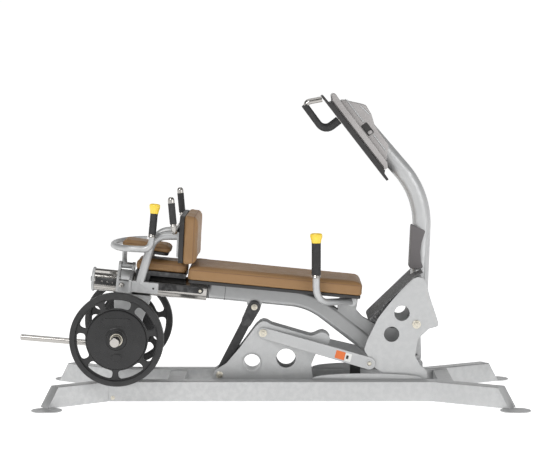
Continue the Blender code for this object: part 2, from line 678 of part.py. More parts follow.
def weight_hanger():
    """The hanger under the chrome tube, the bar through it for the plates, and the rear peg."""
    top = -TUBE_RADIUS - GAP
    outline = rounded([bench(-0.767, top), bench(-0.578, top), (-0.632, 0.372), (-0.655, 0.245),
                       (-0.700, 0.212), (-0.767, 0.212)], 0.014, 3)
    plate("weight_hanger", [outline, circle(HORN, HORN_RADIUS + GAP, 28)], 0.056, 0.0, PAINT, 0.002)
    half, stop = HORN_LENGTH / 2, PLATE_Y - 0.0235
    profile = [(0, half), (HORN_RADIUS - 0.004, half), (HORN_RADIUS, half - 0.004), (HORN_RADIUS, stop),
               (0.042, stop), (0.042, stop - 0.008), (HORN_RADIUS, stop - 0.008)]
    profile += [(r, -h) for r, h in reversed(profile)]
    turned("horn_bar", profile, (HORN[0], 0, HORN[1]), (0, 1, 0), CHROME, 28)
    start, end = (-0.767 - 3 * GAP, 0.247), (-1.235, 0.247 + 0.468 * tan(radians(4.9)))
    turned("rear_peg", [(0, 0.4688), (0.012, 0.4688), (0.015, 0.466), (0.015, 0.001), (0, 0.001)],
           (start[0], 0, start[1]), (end[0] - start[0], 0, end[1] - start[1]), CHROME, 20)


def plate_window(turn, steps=4):
    """One curved slot of a weight plate, as an outline about the plate's centre."""
    inner, outer, half = 0.650 * PLATE_RADIUS, 0.845 * PLATE_RADIUS, radians(21)
    arc = [(outer, -half + 2 * half * i / steps) for i in range(steps + 1)]
    arc += [(inner, 0.95 * (half - 2 * half * i / steps)) for i in range(steps + 1)]
    return rounded([(r * cos(turn + a), r * sin(turn + a)) for r, a in arc], 0.016, 2)


def weight_plate(name, side):
    """A spoked plate with a raised rim and a raised centre."""
    half, rim, web, hub = 0.0225, 0.196, 0.011, 0.144
    profile = [(0.0258, 0.019), (hub - 0.006, 0.019), (hub, web), (rim, web), (rim + 0.006, half),
               (PLATE_RADIUS - 0.006, half), (PLATE_RADIUS, half - 0.006)]
    profile += [(r, -h) for r, h in reversed(profile)]
    place = (HORN[0], side * PLATE_Y, HORN[1])
    made = turned(name, profile, place, (0, 1, 0), CAST, 42, ring=True)
    windows = [plate_window(radians(87) + 2 * pi * i / PLATE_WINDOWS) for i in range(PLATE_WINDOWS)]
    matrix = Matrix.Translation(place) @ UPRIGHT
    return cut(made, sheet("plate_windows", windows, 0.08, BLACK, matrix, 0))


def release_lever():
    """The lever beside the bench pad, pivoted on the beam's end bracket."""
    pivot = (0.402, 0.474)
    grip_x, grip_y = 0.224, -0.262
    path = bent_path([(pivot[0], -0.052, pivot[1]), (pivot[0] - 0.018, -0.095, 0.477),
                      (grip_x, grip_y, 0.491), (grip_x, grip_y, 0.812)], [0.03, 0.080], 6)
    made = tube("release_lever", path, 0.0175, PAINT)
    join(made, rod("lever_boss", (pivot[0], -0.0305, pivot[1]), (pivot[0], -0.080, pivot[1]), 0.024, PAINT))
    grip = [(0.0178, 0.778), (0.0220, 0.778), (0.0225, 0.775), (0.0225, 0.628), (0.0220, 0.625), (0.0178, 0.625)]
    turned("release_grip", grip, (grip_x, grip_y, 0), (0, 0, 1), RUBBER, 24, ring=True)
    cap = [(0, 0.826), (0.024, 0.826), (0.0310, 0.820), (0.0310, 0.806), (0.0235, 0.778 + GAP),
           (0.0178, 0.778 + GAP), (0.0178, 0.8125), (0, 0.8125)]
    turned("release_cap", cap, (grip_x, grip_y, 0), (0, 0, 1), YELLOW, 24)


# ---------------------------------------------------------------- carriage

def cross_plate(name, outline, u):
    """A plate square to the chrome tube: outline in (y, v), from u for the flange's thickness."""
    stand = Matrix(((0, 0, 1, 0), (1, 0, 0, 0), (0, 1, 0, 0), (0, 0, 0, 1)))
    middle = Matrix.Translation((u + FLANGE_THICKNESS / 2, 0, 0))
    return sheet(name, [outline], FLANGE_THICKNESS, PAINT, bench_matrix() @ middle @ stand)


def saddle():
    """The saddle that slides on the chrome tube: two flanges, a sleeve, the lock's block and a pin."""
    ear = [(0.024, 0.058), (0.024, 0.088), (0.012, 0.101), (-0.012, 0.101), (-0.024, 0.088), (-0.024, 0.058)]
    narrow = [(-0.076, 0.030), (-0.076, -0.044), (0.076, -0.044), (0.076, 0.030), (0.050, 0.056)]
    wide = [(-0.155, 0.028), (-0.155, -0.036), (-0.080, -0.044), (0.080, -0.044), (0.155, -0.036), (0.155, 0.028),
            (0.060, 0.056)]
    made = cross_plate("carriage_saddle", rounded(narrow + ear + [(-0.050, 0.056)], 0.008, 2), FLANGES[0])
    join(made, cross_plate("right_flange", rounded(wide + ear + [(-0.060, 0.056)], 0.008, 2), FLANGES[1]))
    (x0, z0), (x1, z1) = bench(FLANGES[0] + 0.010, 0), bench(FLANGES[1] + 0.004, 0)
    join(made, rod("sleeve", (x0, 0, z0), (x1, 0, z1), 0.0625, PAINT, 36))
    block = ((FLANGES[0] + 0.012, -0.096, -0.044), (FLANGES[1] + 0.002, -0.055, 0.014))
    join(made, box("lock_block", *block, BLACK, 0.001, bench_matrix()))
    (x0, z0), (x1, z1) = bench(FLANGES[0] - 0.03, 0), bench(FLANGES[1] + 0.04, 0)
    cut(made, rod("saddle_bore", (x0, 0, z0), (x1, 0, z1), SADDLE_BORE, BLACK, 36))
    cut(made, box("saddle_mouth", (-0.80, -0.036, -0.08), (-0.65, 0.036, -0.02), BLACK, 0, bench_matrix()))
    cut(made, box("rail_groove", (-0.80, -0.0632, -0.0172), (-0.65, -0.04, 0.0172), BLACK, 0, bench_matrix()))
    x, z = bench(LOCK_U, LOCK_V)
    cut(made, rod("lock_bore", (x, -0.12, z), (x, -0.05, z), 0.0083, BLACK, 16))
    (x0, z0), (x1, z1) = bench(FLANGES[0] + 0.004, CLEVIS_V), bench(FLANGES[1] + 0.010, CLEVIS_V)
    join(made, rod("clevis_pin", (x0, 0, z0), (x1, 0, z1), 0.006, ZINC, 12))


def lock_pin():
    """The index pin: its tip stops just short of the rail's hole and its knob stands out of the block."""
    x, z = bench(LOCK_U, LOCK_V)
    profile = [(0, 0.0645), (0.009, 0.0640), (0.013, 0.0585), (0.013, 0.0500), (0.008, 0.0430), (0.008, 0.0080),
               (0.005, 0.0068), (0.005, 0.0050), (0, 0.0050)]
    turned("lock_pin", profile, (x, -0.0580, z), (0, -1, 0), CHROME, 16)


def arm_path(side):
    low = (-0.6335, 0.570)
    corner = (-0.5615, ARM_TOP_Z)
    end = (BRACKET_X[0] + 0.004, ARM_TOP_Z)
    return bent_path([(x, side * ARM_Y, z) for x, z in (low, corner, end)], 0.110, 7)


def back_lean():
    """Leans the upright pad and what carries it towards the bench."""
    pivot = Matrix.Translation((BACK_BOARD_X[0], 0, 0.790))
    return pivot @ Matrix.Rotation(BACK_LEAN, 4, "Y") @ pivot.inverted()


def carriage_frame():
    """The bent arms that stand on the side bars and carry the upright pad."""
    low_z, high_z = 0.700, 0.824
    bracket = ((BRACKET_X[0], -0.165, low_z), (BRACKET_X[1], 0.165, high_z))
    made = box("carriage_frame", *bracket, PAINT, 0.002, back_lean())
    for side in (-1, 1):
        join(made, tube("arm", arm_path(side), ARM_RADIUS, PAINT, 4))
        y_ends = sorted((side * 0.1166, side * 0.155))
        bar = ((FLANGES[1] + FLANGE_THICKNESS + GAP, y_ends[0], -0.028), (-0.545, y_ends[1], 0.026))
        join(made, box("side_bar", *bar, PAINT, 0.002, bench_matrix()))
    x, z = -0.5975, 0.6985
    join(made, rod("head_rest_tie", (x, -ARM_Y, z), (x, ARM_Y, z), 0.012, PAINT, 16))


def handle_bar():
    """The chrome bar behind the upright pad that ends in the two side grips."""
    z_low, z_top, x = 0.8375, 0.990, BRACKET_X[0] - 0.0005
    lean = (z_top - z_low) * tan(radians(5))
    path = bent_path([(x - lean, -SIDE_GRIP_Y, z_top), (x, -SIDE_GRIP_Y, z_low), (x, SIDE_GRIP_Y, z_low),
                      (x - lean, SIDE_GRIP_Y, z_top)], 0.030, 4)
    made = tube("handle_bar", path, 0.0125, CHROME)
    up = Vector((-lean, 0, z_top - z_low)).normalized()
    for side, name in ((-1, "side_grip_near"), (1, "side_grip_far")):
        top = Vector((x - lean, side * SIDE_GRIP_Y, z_top))
        ball = [(0, 0.018), (0.0095, 0.0155), (0.0155, 0.008), (0.0165, 0), (0.0165, -0.012), (0, -0.012)]
        join(made, turned("grip_tip", ball, top, up, CHROME, 20))
        grip = [(0.0128, -0.0125), (0.0165, -0.0125), (0.0170, -0.016), (0.0170, -0.108), (0.0165, -0.111),
                (0.0128, -0.111)]
        turned(name, grip, top, up, RUBBER, 20, ring=True)


def upright_pad():
    for name, x, y, z, finish in (("back_board", BACK_BOARD_X, 0.238, (0.676, 0.905), BLACK),
                                  ("back_pad", BACK_PAD_X, 0.250, BACK_PAD_Z, VINYL)):
        outline = rounded([(-y, z[0]), (y, z[0]), (y, z[1]), (-y, z[1])], 0.030, 4)
        stand = Matrix(((0, 0, 1, (x[0] + x[1]) / 2), (1, 0, 0, 0), (0, 1, 0, 0), (0, 0, 0, 1)))
        sheet(name, [outline], x[1] - x[0], finish, back_lean() @ stand, 0.002)


def head_rest():
    """The small pad at the upper left, on its board."""
    tilt = radians(8.5)
    place = Matrix.Translation((-0.600, 0, 0.7635)) @ Matrix.Rotation(tilt, 4, "Y")
    for name, half_x, half_y, top, thickness, finish in (
            ("head_rest_pad", 0.1225, 0.100, 0.0, 0.034, VINYL),
            ("head_rest_board", 0.1090, 0.088, -0.034 - GAP, 0.016, BLACK)):
        outline = rounded([(-half_x, -half_y), (half_x, -half_y), (half_x, half_y), (-half_x, half_y)], 0.030, 4)
        lift = Matrix.Translation((0, 0, top - thickness / 2))
        sheet(name, [outline], thickness, finish, place @ lift, 0.002)


def rear_pad():
    """The low pad behind the bench pad, on a tray whose skirts bolt to the side bars."""
    left, right = -0.667, -0.4145
    outline = rounded([(left, -0.111), (right, -0.111), (right, 0.111), (left, 0.111)], 0.020, 3)
    sheet("rear_pad", [outline], 0.052, VINYL, bench_matrix() @ Matrix.Translation((0, 0, 0.105)), 0.002)
    top = 0.079 - GAP
    tray = box("rear_tray", (left + 0.004, -0.1160, top - 0.015), (right - 0.004, 0.1160, top), BLACK, 0.001,
               bench_matrix())
    skirt = [(left + 0.0045, top - 0.002), (left + 0.0045, -0.020), (-0.606, -0.020), (-0.590, 0.056),
             (right - 0.0045, 0.056), (right - 0.0045, top - 0.002)]
    for side in (-1, 1):
        place = bench_matrix() @ Matrix.Translation((0, side * 0.1117, 0)) @ UPRIGHT
        join(tray, sheet("tray_skirt", [skirt], 0.008, BLACK, place))


def loop_lever():
    """The looped adjustment lever on the saddle's clevis, with its yellow-capped grip."""
    x, z = bench(LOCK_U, CLEVIS_V)
    neck, top = (-0.5735, 0.741), (-0.5530, 0.945)
    middle, reach, steps = -0.650, 0.120, 14
    path = []
    for i in range(steps + 1):
        turn = pi / 2 + pi * i / steps
        path.append((middle + reach * cos(turn), LOOP_Y * sin(turn), 0.757 - 0.013 * i / steps))
    path += bent_path([path.pop(), (neck[0], -LOOP_Y, neck[1]), (top[0], -LOOP_Y, top[1])], 0.045, 6)
    made = tube("loop_lever", [(-0.620, LOOP_Y, 0.757)] + path, LOOP_RADIUS, PAINT)
    (x0, z0), (x1, z1) = bench(FLANGES[0] + FLANGE_THICKNESS + 0.001, CLEVIS_V), bench(FLANGES[1] - 0.001, CLEVIS_V)
    post = bent_path([(-0.7170, 0, z + 0.004), (-0.7150, -0.030, z + 0.040), (-0.7000, -0.182, 0.7455)], 0.050, 5)
    join(made, tube("loop_post", post, 0.0125, PAINT))
    join(made, rod("loop_hub", (x0, 0, z0), (x1, 0, z1), 0.0155, PAINT))
    (x0, z0), (x1, z1) = bench(FLANGES[0], CLEVIS_V), bench(FLANGES[1] + 0.02, CLEVIS_V)
    cut(made, rod("hub_bore", (x0, 0, z0), (x1, 0, z1), 0.0064, BLACK, 16))
    up = Vector((top[0] - neck[0], 0, top[1] - neck[1])).normalized()
    place = (top[0], -LOOP_Y, top[1])
    grip = [(0.0163, -0.030), (0.0180, -0.030), (0.0185, -0.033), (0.0185, -0.127), (0.0180, -0.130),
            (0.0163, -0.130)]
    turned("loop_grip", grip, place, up, RUBBER, 24, ring=True)
    cap = [(0, 0.012), (0.0180, 0.012), (0.0245, 0.006), (0.0245, -0.008), (0.0195, -0.030 + GAP),
           (0.0163, -0.030 + GAP), (0.0163, GAP), (0, GAP)]
    turned("loop_cap", cap, place, up, YELLOW, 24)


# ---------------------------------------------------------------- assembly

def build():
    for side, name in ((-1, "near"), (1, "far")):
        rail("rail_" + name, side)
        left_leg("leg_left_" + name, side)
        tie_bar("tie_bar_" + name, side)
        head_handle(side, name)
        weight_plate("weight_plate_" + name, side)
    cross_members()
    tower()
    foot_frame()
    foot_plate()
    box("stop_bumper", (0.396, -0.040, BASE_TOP), (0.446, 0.040, 0.168), RUBBER, 0.004)
    mast()
    head()
    front_rocker()
    rear_rocker()
    beam()
    slide_tube()
    bench_pads()
    weight_hanger()
    release_lever()
    saddle()
    lock_pin()
    carriage_frame()
    handle_bar()
    upright_pad()
    head_rest()
    rear_pad()
    loop_lever()


build()
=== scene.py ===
"""The looks of the hip thrust machine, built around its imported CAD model.

Metres, +Z up, -Y is the near side.
"""

import json
from math import atan2, cos, pi, radians, sin, tan

import bmesh
import bpy
from mathutils import Matrix, Vector
from mathutils.bvhtree import BVHTree

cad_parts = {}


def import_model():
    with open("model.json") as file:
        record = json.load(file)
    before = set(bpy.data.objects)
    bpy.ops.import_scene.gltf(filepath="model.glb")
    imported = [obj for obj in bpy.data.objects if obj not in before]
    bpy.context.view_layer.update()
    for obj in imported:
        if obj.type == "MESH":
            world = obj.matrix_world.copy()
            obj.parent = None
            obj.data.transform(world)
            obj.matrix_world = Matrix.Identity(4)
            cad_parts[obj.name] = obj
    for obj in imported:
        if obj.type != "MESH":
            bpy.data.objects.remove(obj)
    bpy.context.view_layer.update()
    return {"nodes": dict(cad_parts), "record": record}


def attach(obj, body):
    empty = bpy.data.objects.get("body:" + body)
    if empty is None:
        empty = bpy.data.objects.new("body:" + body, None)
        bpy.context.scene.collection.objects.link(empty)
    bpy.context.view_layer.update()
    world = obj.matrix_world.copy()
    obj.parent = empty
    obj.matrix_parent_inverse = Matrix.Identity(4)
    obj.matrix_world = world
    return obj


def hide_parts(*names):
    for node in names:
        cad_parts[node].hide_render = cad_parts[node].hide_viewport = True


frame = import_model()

NODES = frame["nodes"]
BODY_OF = {node: body for body, members in frame["record"]["behaviour"]["bodies"].items() for node in members}

BENCH_TILT = radians(5.6)
BENCH_AXIS_Z = 0.4924
BENCH = Matrix.Translation((0, 0, BENCH_AXIS_Z)) @ Matrix.Rotation(BENCH_TILT, 4, "Y")
UPRIGHT = Matrix.Rotation(pi / 2, 4, "X")
HORN = (-0.728, 0.325)
PLATE_Y = 0.350
PLATE_RADIUS = 0.225
PLATE_HALF = 0.0225  # half the rim's thickness
PLATE_BORE = 0.0262
PLATE_WINDOWS = 7
SEAM_RADIUS = 0.0017
SWELL_PRESSURE = 4.0
SWELL_FRAMES = 20
HELD_DEPTH = 0.004  # of a cushion's underside
FLOOR_RADIUS = 30.0


def bench(u, v):
    c, s = cos(BENCH_TILT), sin(BENCH_TILT)
    return (u * c + v * s, BENCH_AXIS_Z - u * s + v * c)


# ---------------------------------------------------------------- materials

class Paint:
    """A Principled material whose nodes are added step by step."""

    def __init__(self, name, colour, roughness, metallic=0.0):
        self.material = bpy.data.materials.new(name)
        self.material.use_nodes = True
        self.tree = self.material.node_tree
        self.shader = self.tree.nodes["Principled BSDF"]
        self.colour = colour
        self.shader.inputs["Base Color"].default_value = (*colour, 1)
        self.shader.inputs["Roughness"].default_value = roughness
        self.shader.inputs["Metallic"].default_value = metallic
        self.place = self.tree.nodes.new("ShaderNodeTexCoord").outputs["Object"]
        self.normal = None

    def set(self, **values):
        for name, value in values.items():
            self.shader.inputs[name.replace("_", " ")].default_value = value
        return self

    def add(self, kind, **values):
        node = self.tree.nodes.new("ShaderNode" + kind)
        for name, value in values.items():
            if name in node.inputs:
                node.inputs[name].default_value = value
            else:
                setattr(node, name, value)
        return node

    def link(self, out, into):
        self.tree.links.new(out, into)

    def noise(self, scale, detail=4.0, stretch=(1, 1, 1)):
        mapping = self.add("Mapping")
        mapping.inputs["Scale"].default_value = stretch
        self.link(self.place, mapping.inputs["Vector"])
        node = self.add("TexNoise", Scale=scale, Detail=detail)
        self.link(mapping.outputs["Vector"], node.inputs["Vector"])
        return node.outputs["Fac"]

    def ramp(self, value, low, high, first, last):
        node = self.add("MapRange")
        for name, number in (("From Min", low), ("From Max", high), ("To Min", first), ("To Max", last)):
            node.inputs[name].default_value = number
        self.link(value, node.inputs["Value"])
        return node.outputs["Result"]

    def tint(self, share, colour):
        """Mixes colour in by a value that varies over the surface."""
        mix = self.add("Mix", data_type="RGBA")
        base = self.shader.inputs["Base Color"]
        if base.is_linked:
            self.link(base.links[0].from_socket, mix.inputs[6])
        else:
            mix.inputs[6].default_value = base.default_value
        mix.inputs[7].default_value = (*colour, 1)
        self.link(share, mix.inputs[0])
        self.link(mix.outputs[2], base)
        return self

    def rough(self, value):
        self.link(value, self.shader.inputs["Roughness"])
        return self

    def bump(self, height, distance, strength=1.0):
        node = self.add("Bump", Strength=strength, Distance=distance)
        self.link(height, node.inputs["Height"])
        if self.normal is not None:
            self.link(self.normal, node.inputs["Normal"])
        self.normal = node.outputs["Normal"]
        self.link(self.normal, self.shader.inputs["Normal"])
        return self

    def worn_edges(self, colour, share=0.35):
        """Lightens the sharpest outer edges, broken up by noise."""
        pointy = self.add("NewGeometry").outputs["Pointiness"]
        edge = self.ramp(pointy, 0.52, 0.62, 0.0, share)
        spots = self.ramp(self.noise(38.0), 0.42, 0.62, 0.0, 1.0)
        product = self.add("Math", operation="MULTIPLY")
        self.link(edge, product.inputs[0])
        self.link(spots, product.inputs[1])
        return self.tint(product.outputs[0], colour)


def silver_paint(name="silver_paint", shade=None):
    """Metallic powder coat; given an amount, faces that look up are darkened with painted shade, standing in
    for the shadow under the pads.
    """
    m = Paint(name, (0.465, 0.47, 0.472), 0.42, 0.55)
    m.tint(m.ramp(m.noise(1100.0, 2.0), 0.54, 0.70, 0.0, 0.35), (0.65, 0.655, 0.66))
    m.tint(m.ramp(m.noise(3.0, 2.0), 0.35, 0.7, 0.0, 0.10), (0.40, 0.405, 0.41))
    m.tint(m.ramp(m.noise(9.0, 5.0, (0.12, 1, 1)), 0.40, 0.75, 0.0, 0.16), (0.33, 0.335, 0.34))
    # Painted shade: faces that look up go towards near black, for the shadow cast by the pads above.
    if shade:
        parts = m.add("SeparateXYZ")
        m.link(m.add("TexCoord").outputs["Normal"], parts.inputs["Vector"])
        m.tint(m.ramp(parts.outputs["Z"], -0.35, 0.55, 0.0, shade), (0.085, 0.085, 0.085))
    m.rough(m.ramp(m.noise(45.0), 0.3, 0.7, 0.38, 0.46))
    m.bump(m.noise(520.0, 3.0), 0.00030, 0.28)
    m.worn_edges((0.70, 0.70, 0.69), 0.22)
    return m.set(Coat_Weight=0.12, Coat_Roughness=0.25).material


def chrome():
    m = Paint("chrome", (0.44, 0.425, 0.405), 0.14, 1.0)
    m.rough(m.ramp(m.noise(26.0), 0.3, 0.75, 0.07, 0.20))
    m.tint(m.ramp(m.noise(9.0), 0.45, 0.75, 0.0, 0.35), (0.38, 0.355, 0.325))
    m.bump(m.noise(160.0, 2.0, (0.05, 1, 1)), 0.0001, 0.25)
    return m.material


def zinc():
    m = Paint("zinc", (0.66, 0.62, 0.52), 0.28, 1.0)
    m.tint(m.ramp(m.noise(120.0), 0.4, 0.7, 0.0, 0.6), (0.45, 0.43, 0.40))
    m.rough(m.ramp(m.noise(200.0), 0.3, 0.7, 0.22, 0.42))
    return m.bump(m.noise(700.0), 0.0001, 0.4).material


def black_paint():
    m = Paint("black_paint", (0.015, 0.015, 0.016), 0.44)
    m.tint(m.ramp(m.noise(14.0), 0.4, 0.75, 0.0, 0.5), (0.040, 0.040, 0.042))
    m.rough(m.ramp(m.noise(50.0), 0.3, 0.7, 0.34, 0.52))
    m.bump(m.noise(520.0, 2.0), 0.0003, 0.5)
    return m.worn_edges((0.16, 0.16, 0.16), 0.5).material


def cast_urethane():
    m = Paint("cast_urethane", (0.014, 0.014, 0.0145), 0.52)
    m.tint(m.ramp(m.noise(11.0), 0.42, 0.75, 0.0, 0.6), (0.024, 0.0235, 0.024))
    m.rough(m.ramp(m.noise(30.0), 0.3, 0.7, 0.42, 0.62))
    m.bump(m.noise(300.0, 5.0), 0.0006, 0.5)
    return m.worn_edges((0.09, 0.09, 0.09), 0.4).material


def gloss_black():
    m = Paint("gloss_black", (0.006, 0.006, 0.0065), 0.20)
    m.tint(m.ramp(m.noise(15.0), 0.45, 0.75, 0.0, 0.5), (0.012, 0.012, 0.013))
    m.rough(m.ramp(m.noise(22.0), 0.3, 0.7, 0.16, 0.34))
    return m.bump(m.noise(220.0, 3.0), 0.0003, 0.4).material


def vinyl():
    m = Paint("tan_vinyl", (0.272, 0.150, 0.058), 0.50)
    cells = m.add("TexVoronoi", Scale=420.0, feature="DISTANCE_TO_EDGE")
    m.link(m.place, cells.inputs["Vector"])
    grain = m.ramp(cells.outputs["Distance"], 0.0, 0.10, 0.0, 1.0)
    m.tint(m.ramp(m.noise(7.0), 0.35, 0.72, 0.0, 0.55), (0.222, 0.114, 0.038))
    m.tint(m.ramp(m.noise(900.0), 0.45, 0.75, 0.0, 0.35), (0.330, 0.190, 0.080))
    m.rough(m.ramp(m.noise(24.0), 0.3, 0.7, 0.46, 0.60))
    m.bump(grain, 0.00035, 0.55)
    m.bump(m.noise(26.0, 3.0), 0.0016, 0.35)
    return m.set(Coat_Weight=0.08, Coat_Roughness=0.35).material


def rubber():
    m = Paint("grip_rubber", (0.020, 0.020, 0.021), 0.72)
    m.tint(m.ramp(m.noise(60.0), 0.4, 0.75, 0.0, 0.6), (0.040, 0.040, 0.041))
    return m.bump(m.noise(800.0, 2.0), 0.0005, 0.6).material


def yellow_plastic():
    m = Paint("yellow_plastic", (0.86, 0.60, 0.045), 0.30)
    m.tint(m.ramp(m.noise(40.0), 0.4, 0.8, 0.0, 0.4), (0.93, 0.70, 0.12))
    m.rough(m.ramp(m.noise(90.0), 0.3, 0.7, 0.22, 0.38))
    return m.bump(m.noise(300.0), 0.0002, 0.4).set(Coat_Weight=0.3, Coat_Roughness=0.1).material


def tread():
    m = Paint("tread", (0.062, 0.061, 0.062), 0.66)
    cells = m.add("TexVoronoi", Scale=190.0)
    m.link(m.place, cells.inputs["Vector"])
    grit = m.ramp(cells.outputs["Distance"], 0.0, 0.55, 1.0, 0.0)
    m.tint(m.ramp(m.noise(150.0, 6.0), 0.50, 0.62, 0.0, 0.8), (0.26, 0.26, 0.26))
    m.tint(m.ramp(m.noise(12.0), 0.4, 0.7, 0.0, 0.4), (0.075, 0.074, 0.075))
    return m.bump(grit, 0.0016, 1.0).material


def guard_plastic():
    m = Paint("guard_plastic", (0.112, 0.104, 0.106), 0.62)
    m.tint(m.ramp(m.noise(9.0), 0.4, 0.7, 0.0, 0.4), (0.145, 0.137, 0.138))
    return m.bump(m.noise(600.0, 2.0), 0.0004, 0.5).material


def shell_plastic():
    m = Paint("shell_plastic", (0.40, 0.385, 0.38), 0.34, 0.30)
    m.tint(m.ramp(m.noise(4.0), 0.35, 0.7, 0.0, 0.6), (0.25, 0.235, 0.23))
    m.rough(m.ramp(m.noise(45.0), 0.3, 0.7, 0.34, 0.50))
    return m.bump(m.noise(700.0, 2.0), 0.0003, 0.4).material


def board_black():
    m = Paint("board_black", (0.020, 0.019, 0.019), 0.46)
    m.tint(m.ramp(m.noise(20.0), 0.4, 0.7, 0.0, 0.5), (0.034, 0.032, 0.031))
    return m.bump(m.noise(500.0, 2.0), 0.0004, 0.5).material


def thread():
    m = Paint("seam_thread", (0.215, 0.118, 0.060), 0.7)
    m.tint(m.ramp(m.noise(900.0), 0.4, 0.7, 0.0, 0.6), (0.14, 0.075, 0.038))
    return m.bump(m.noise(1500.0), 0.0003, 0.7).material


def decal(name, colour):
    m = Paint(name, colour, 0.35)
    m.tint(m.ramp(m.noise(80.0), 0.45, 0.75, 0.0, 0.15), tuple(c * 0.8 for c in colour))
    return m.bump(m.noise(400.0), 0.0001, 0.3).material


M = {
    # The second silver carries painted shade on the faces that look up.
    "silver": silver_paint(), "shaded": silver_paint("silver_painted_shade", 0.85), "chrome": chrome(),
    "zinc": zinc(), "black": black_paint(), "cast": cast_urethane(),
    "vinyl": vinyl(), "rubber": rubber(), "yellow": yellow_plastic(), "tread": tread(),
    "guard": guard_plastic(),
    "shell": shell_plastic(), "board": board_black(), "thread": thread(), "gloss": gloss_black(),
    "orange": decal("label_orange", (0.72, 0.16, 0.03)), "white": decal("label_white", (0.72, 0.72, 0.70)),
}


# ---------------------------------------------------------------- mesh helpers

def shown(name, mesh, material, body, matrix=None, smooth=50):
    """A finished piece: its material, smooth shading up to an angle, and the body it rides on."""
    obj = bpy.data.objects.new(name, mesh)
    bpy.context.scene.collection.objects.link(obj)
    if matrix is not None:
        obj.matrix_world = matrix
    obj.data.materials.clear()
    obj.data.materials.append(M[material])
    mesh.shade_smooth()
    mesh.set_sharp_from_angle(angle=radians(smooth))
    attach(obj, body)
    return obj


def keep_flat(obj):
    flat = obj.modifiers.new("flat_faces", "WEIGHTED_NORMAL")
    flat.keep_sharp = True
    return obj


def polish(node, material, smooth=50, rounding=0.0):
    """Stands a smooth-shaded copy of a CAD node's mesh in its place."""
    mesh = NODES[node].data.copy()
    shape = bmesh.new()
    shape.from_mesh(mesh)
    bmesh.ops.remove_doubles(shape, verts=shape.verts, dist=2e-5)
    bmesh.ops.dissolve_limit(shape, angle_limit=radians(0.4), verts=shape.verts, edges=shape.edges)
    shape.to_mesh(mesh)
    shape.free()
    obj = shown(node + "_finish", mesh, material, BODY_OF[node], smooth=smooth)
    if rounding:
        bevel = obj.modifiers.new("rounding", "BEVEL")
        bevel.width = rounding
        bevel.segments = 2
        bevel.limit_method = "ANGLE"
        bevel.angle_limit = radians(40)
    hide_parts(node)
    return keep_flat(obj)


def merged(*shapes):
    """One mesh from several (vertices, faces) pairs."""
    verts, faces = [], []
    for more_verts, more_faces in shapes:
        first = len(verts)
        verts += [tuple(v) for v in more_verts]
        faces += [[first + i for i in face] for face in more_faces]
    mesh = bpy.data.meshes.new("piece")
    mesh.from_pydata(verts, [], faces)
    shape = bmesh.new()
    shape.from_mesh(mesh)
    bmesh.ops.recalc_face_normals(shape, faces=shape.faces)
    shape.to_mesh(mesh)
    shape.free()
    return mesh


def turn_about(profile, matrix, steps=48, closed=False):
    """(vertices, faces) of a profile of (radius, height) points turned about the matrix's Z."""
    verts, faces = [], []
    count = len(profile)
    for i in range(steps):
        angle = 2 * pi * i / steps
        verts += [matrix @ Vector((r * cos(angle), r * sin(angle), h)) for r, h in profile]
    for i in range(steps):
        j = (i + 1) % steps
        for k in range(count if closed else count - 1):
            n = (k + 1) % count
            faces.append([i * count + k, j * count + k, j * count + n, i * count + n])
    if not closed:
        for k in (0, count - 1):
            faces.append([i * count + k for i in range(steps)])
    return verts, faces


def aim(at, direction):
    turn = Vector(direction).to_track_quat("Z", "Y").to_matrix().to_4x4()
    return Matrix.Translation(at) @ turn


def sweep(path, radius, sides=20):
    """(vertices, faces) of a round bar along a path of 3-D points."""
    path = [Vector(p) for p in path]
    verts, faces = [], []
    normal = None
    for i, point in enumerate(path):
        ahead = (path[min(i + 1, len(path) - 1)] - path[max(i - 1, 0)]).normalized()
        if normal is None:
            normal = ahead.orthogonal().normalized()
        normal = (normal - ahead * normal.dot(ahead)).normalized()
        other = ahead.cross(normal)
        for k in range(sides):
            turn = 2 * pi * k / sides
            verts.append(point + (normal * cos(turn) + other * sin(turn)) * radius)
    for i in range(len(path) - 1):
        for k in range(sides):
            n = (k + 1) % sides
            faces.append([i * sides + k, i * sides + n, (i + 1) * sides + n, (i + 1) * sides + k])
    faces.append(list(range(sides)))
    faces.append([(len(path) - 1) * sides + k for k in range(sides)])
    return verts, faces


def sheet(loops, thickness, matrix, chamfer=0.002, resolution=2):
    """A flat shape with holes, given thickness and rounded edges, as a mesh."""
    curve = bpy.data.curves.new("sheet", "CURVE")
    curve.dimensions = "2D"
    curve.fill_mode = "BOTH"
    for loop in loops:
        spline = curve.splines.new("POLY")
        spline.points.add(len(loop) - 1)
        for point, (x, y) in zip(spline.points, loop):
            point.co = (x, y, 0.0, 1.0)
        spline.use_cyclic_u = True
    curve.extrude = thickness / 2 - chamfer
    curve.bevel_depth = chamfer
    curve.bevel_resolution = resolution
    curve.offset = -chamfer
    obj = bpy.data.objects.new("sheet", curve)
    bpy.context.scene.collection.objects.link(obj)
    bpy.context.view_layer.update()
    mesh = bpy.data.meshes.new_from_object(obj.evaluated_get(bpy.context.evaluated_depsgraph_get()))
    bpy.data.objects.remove(obj)
    mesh.transform(matrix)
    shape = bmesh.new()
    shape.from_mesh(mesh)
    bmesh.ops.remove_doubles(shape, verts=shape.verts, dist=1e-6)
    bmesh.ops.recalc_face_normals(shape, faces=shape.faces)
    verts = [v.co.copy() for v in shape.verts]
    faces = [[v.index for v in f.verts] for f in shape.faces]
    shape.free()
    bpy.data.meshes.remove(mesh)
    return verts, faces


def circle(centre, radius, count=48):
    return [(centre[0] + radius * cos(2 * pi * i / count), centre[1] + radius * sin(2 * pi * i / count))
            for i in range(count)]


